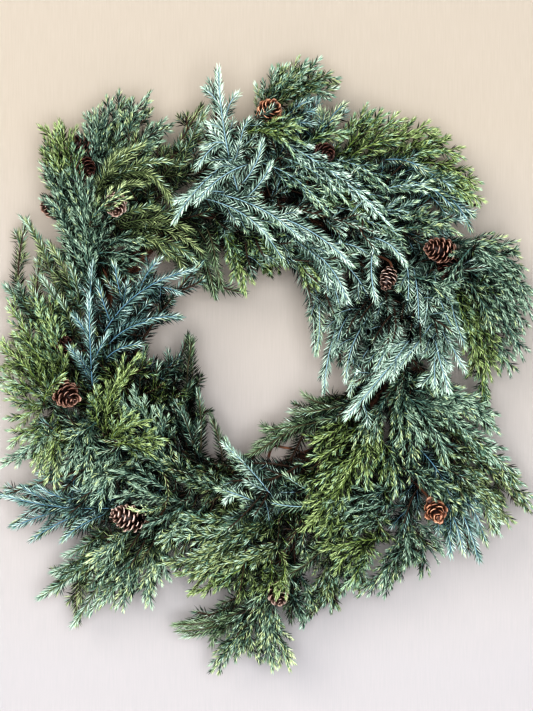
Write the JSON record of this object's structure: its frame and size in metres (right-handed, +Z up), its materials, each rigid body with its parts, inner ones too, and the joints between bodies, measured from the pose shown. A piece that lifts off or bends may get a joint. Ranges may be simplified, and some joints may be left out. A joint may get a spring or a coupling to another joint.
{
  "type": "evergreen wreath",
  "caption": "Round wall wreath: cypress and spruce branches and small cones laid clockwise round a ring of twisted vines.",
  "frame": {"origin": "underside of the vine ring's top, where a wall hook or nail under the ring carries the hanging wreath", "axes": "+X to the right and +Z up as the wreath hangs and is seen from the front, +Y away from the viewer, into the wall"},
  "size_m": [0.5765, 0.1144, 0.658],
  "materials": {
    "vine_bark": "dull dry bark",
    "cone_scale": "dry woody scales with pale rims",
    "teal_cypress": "matte blue-green scale leaves",
    "yellow_cypress": "matte yellow-green scale leaves",
    "green_cypress": "matte mid-green scale leaves",
    "frosted_spruce": "pale frosted blue-green needles",
    "blue_spruce": "blue-green needles on blue stems",
    "dark_spruce": "dark olive-green needles"
  },
  "bodies": {
    "root": {"core_vine": "vine_bark", "outer_vine_1": "vine_bark", "outer_vine_2": "vine_bark", "outer_vine_3": "vine_bark", "outer_vine_4": "vine_bark", "outer_vine_5": "vine_bark", "loose_tendril": "vine_bark", "teal_cypress_crown_left": "teal_cypress", "yellow_cypress_crown_left": "yellow_cypress", "olive_spruce_upper_left": "green_cypress", "frosted_spruce_crown": "frosted_spruce", "green_cypress_top": "green_cypress", "blue_spruce_top": "blue_spruce", "frosted_cypress_diagonal": "frosted_spruce", "yellow_cypress_arch": "yellow_cypress", "grey_spruce_upper_right": "blue_spruce", "frosted_spruce_inner_right": "frosted_spruce", "yellow_cypress_over_hole": "yellow_cypress", "olive_spruce_over_hole": "dark_spruce", "frosted_spruce_hole_right": "frosted_spruce", "pale_spruce_sweep_right": "frosted_spruce", "grey_spruce_drop_right": "frosted_spruce", "teal_cypress_droop_right": "teal_cypress", "yellow_cypress_droop_right": "yellow_cypress", "blue_cypress_right": "teal_cypress", "green_cypress_lower_right": "green_cypress", "frosted_spruce_lower_right": "blue_spruce", "teal_cypress_lower_right": "teal_cypress", "yellow_cypress_bottom_right": "yellow_cypress", "dark_cypress_bottom_right": "green_cypress", "dark_spruce_hole_bottom": "dark_spruce", "yellow_cypress_inner_right": "yellow_cypress", "frosted_spruce_bottom_inner": "frosted_spruce", "green_cypress_bottom_left": "green_cypress", "yellow_cypress_bottom": "yellow_cypress", "dark_spruce_bottom": "dark_spruce", "teal_cypress_bottom": "teal_cypress", "blue_spruce_lower_left": "blue_spruce", "green_spruce_lower_left": "green_cypress", "teal_cypress_lower_left": "teal_cypress", "teal_cypress_left_low": "teal_cypress", "yellow_cypress_left": "yellow_cypress", "green_spruce_left_edge": "green_cypress", "blue_spruce_left": "blue_spruce", "yellow_cypress_inner_left": "yellow_cypress", "dark_spruce_hole_left": "dark_spruce", "teal_cypress_inner_lower_left": "teal_cypress", "cone_twig_right": "cone_scale", "cone_twig_inner_right": "cone_scale", "cone_twig_top_right": "cone_scale", "cone_twig_top": "cone_scale", "cone_twig_upper_left_edge": "cone_scale", "cone_twig_left_edge": "cone_scale", "cone_twig_upper_left": "cone_scale", "cone_twig_left_small": "cone_scale", "cone_twig_left": "cone_scale", "cone_twig_inner_left": "cone_scale", "cone_twig_lower_left": "cone_scale", "cone_twig_lower_right": "cone_scale", "cone_twig_bottom": "cone_scale"}
  },
  "joints": []
}
